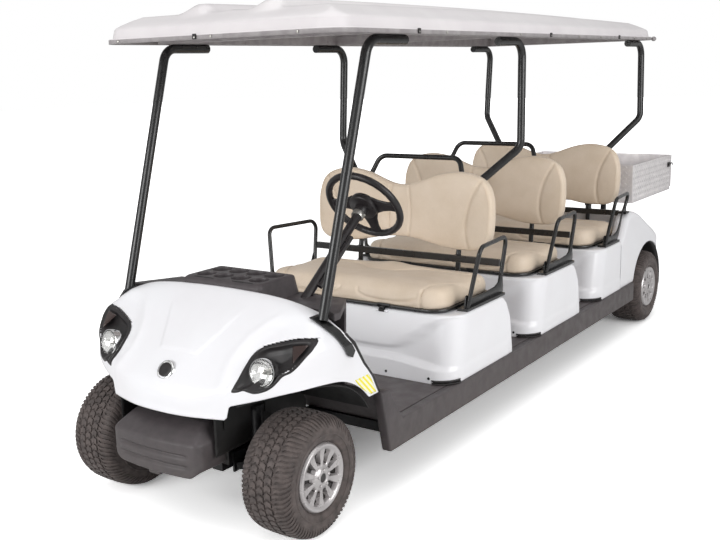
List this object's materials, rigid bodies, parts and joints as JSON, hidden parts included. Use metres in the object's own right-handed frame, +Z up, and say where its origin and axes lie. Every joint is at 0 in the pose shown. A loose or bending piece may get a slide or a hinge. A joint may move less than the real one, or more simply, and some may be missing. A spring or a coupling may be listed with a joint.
{
  "type": "six-seat golf cart",
  "caption": "Long open golf cart with a canopy roof, three bench rows, a sloping nose with round lamps and a tread-plate cargo box behind.",
  "frame": {"origin": "on the ground, under the middle of the cart", "axes": "+Z up, +Y to the rear along the cart's length, +X to the cart's left"},
  "size_m": [1.2, 4.51, 1.91],
  "materials": {
    "white_body": "gloss white painted plastic panels",
    "roof_plastic": "pale moulded roof",
    "tyre_rubber": "dark turf tyre rubber",
    "wheel_silver": "silver painted wheel cover and rim",
    "seat_vinyl": "beige marine vinyl",
    "black_tube": "gloss black powder-coated tube",
    "dark_plastic": "textured dark grey plastic",
    "bezel_plastic": "dark headlight surround",
    "lamp_glass": "clear lamp",
    "tail_lens": "dark red tail lens",
    "steering_plastic": "black moulded grip",
    "black_steel": "satin black steel",
    "cast_metal": "cast powertrain block",
    "tread_plate": "bright tread plate"
  },
  "bodies": {
    "chassis": {"cargo_box": "tread_plate", "cargo_supports": "black_steel", "cowl_trim": "dark_plastic", "cross_members": "black_steel", "dash": "dark_plastic", "floor_pan": "dark_plastic", "frame_rails": "black_steel", "front_bumper": "dark_plastic", "front_cowl": "white_body", "front_suspension": "black_steel", "headlamps": "lamp_glass", "headlight_bezels": "bezel_plastic", "pedals": "steering_plastic", "powertrain": "cast_metal", "rear_axle": "black_steel", "rear_body": "white_body", "rear_bumper": "dark_plastic", "rocker_panels": "dark_plastic", "roof": "roof_plastic", "roof_rails": "black_steel", "roof_struts": "black_tube", "seat_back_front": "seat_vinyl", "seat_back_middle": "seat_vinyl", "seat_back_rear": "seat_vinyl", "seat_frame_front": "black_tube", "seat_frame_middle": "black_tube", "seat_frame_rear": "black_tube", "seat_pod_front": "white_body", "seat_pod_middle": "white_body", "steering_column": "steering_plastic", "tail_lights": "tail_lens", "wheel_liners": "dark_plastic"},
    "steering_wheel": {"steering_wheel": "steering_plastic"},
    "knuckle_left": {"knuckle_left": "black_steel"},
    "knuckle_right": {"knuckle_right": "black_steel"},
    "tie_rod": {"tie_rod": "black_steel"},
    "tailgate": {"tailgate": "tread_plate"},
    "wheel_front_left": {"tyre_front_left": "tyre_rubber", "rim_front_left": "wheel_silver"},
    "wheel_front_right": {"tyre_front_right": "tyre_rubber", "rim_front_right": "wheel_silver"},
    "wheel_rear_left": {"tyre_rear_left": "tyre_rubber", "rim_rear_left": "wheel_silver"},
    "wheel_rear_right": {"tyre_rear_right": "tyre_rubber", "rim_rear_right": "wheel_silver"},
    "seat_lid_front": {"seat_cushion_front": "seat_vinyl"},
    "seat_lid_middle": {"seat_cushion_middle": "seat_vinyl"},
    "seat_lid_rear": {"seat_cushion_rear": "seat_vinyl"}
  },
  "joints": [
    {"name": "steering_turn", "type": "hinge", "parent": "chassis", "child": "steering_wheel", "pos_m": [0.27, -1.244, 1.09795], "axis": [0, 0.806, 0.5919], "range_deg": [-540, 540]},
    {"name": "steer_left", "type": "hinge", "parent": "chassis", "child": "knuckle_left", "pos_m": [0.312, -1.945, 0.2285], "axis": [0, 0, 1], "range_deg": [-26, 26]},
    {"name": "steer_right", "type": "hinge", "parent": "chassis", "child": "knuckle_right", "pos_m": [-0.312, -1.945, 0.2285], "axis": [0, 0, 1], "range_deg": [-26, 26]},
    {"name": "tie_rod_swing", "type": "hinge", "parent": "knuckle_left", "child": "tie_rod", "pos_m": [0.312, -1.83, 0.1875], "axis": [0, 0, 1], "range_deg": [-26, 26]},
    {"name": "front_left_spin", "type": "hinge", "parent": "knuckle_left", "child": "wheel_front_left", "pos_m": [0.44, -1.945, 0.2285], "axis": [1, 0, 0], "continuous": true},
    {"name": "front_right_spin", "type": "hinge", "parent": "knuckle_right", "child": "wheel_front_right", "pos_m": [-0.44, -1.945, 0.2285], "axis": [1, 0, 0], "continuous": true},
    {"name": "rear_left_spin", "type": "hinge", "parent": "chassis", "child": "wheel_rear_left", "pos_m": [0.485, 1.501, 0.2285], "axis": [1, 0, 0], "continuous": true},
    {"name": "rear_right_spin", "type": "hinge", "parent": "chassis", "child": "wheel_rear_right", "pos_m": [-0.485, 1.501, 0.2285], "axis": [1, 0, 0], "continuous": true},
    {"name": "seat_lid_front_hinge", "type": "hinge", "parent": "chassis", "child": "seat_lid_front", "pos_m": [0, -1.03, 0.592], "axis": [1, 0, 0], "range_deg": [0, 70]},
    {"name": "seat_lid_middle_hinge", "type": "hinge", "parent": "chassis", "child": "seat_lid_middle", "pos_m": [0, -0.192, 0.592], "axis": [1, 0, 0], "range_deg": [0, 70]},
    {"name": "seat_lid_rear_hinge", "type": "hinge", "parent": "chassis", "child": "seat_lid_rear", "pos_m": [0, 0.646, 0.592], "axis": [1, 0, 0], "range_deg": [0, 70]},
    {"name": "tailgate_hinge", "type": "hinge", "parent": "chassis", "child": "tailgate", "pos_m": [0, 2.247, 0.773], "axis": [-1, 0, 0], "range_deg": [0, 90]}
  ],
  "couplings": [
    {"joint": "steer_left", "follows": "steering_turn", "ratio": 0.048148},
    {"joint": "steer_right", "follows": "steering_turn", "ratio": 0.048148},
    {"joint": "tie_rod_swing", "follows": "steering_turn", "ratio": -0.048148}
  ]
}
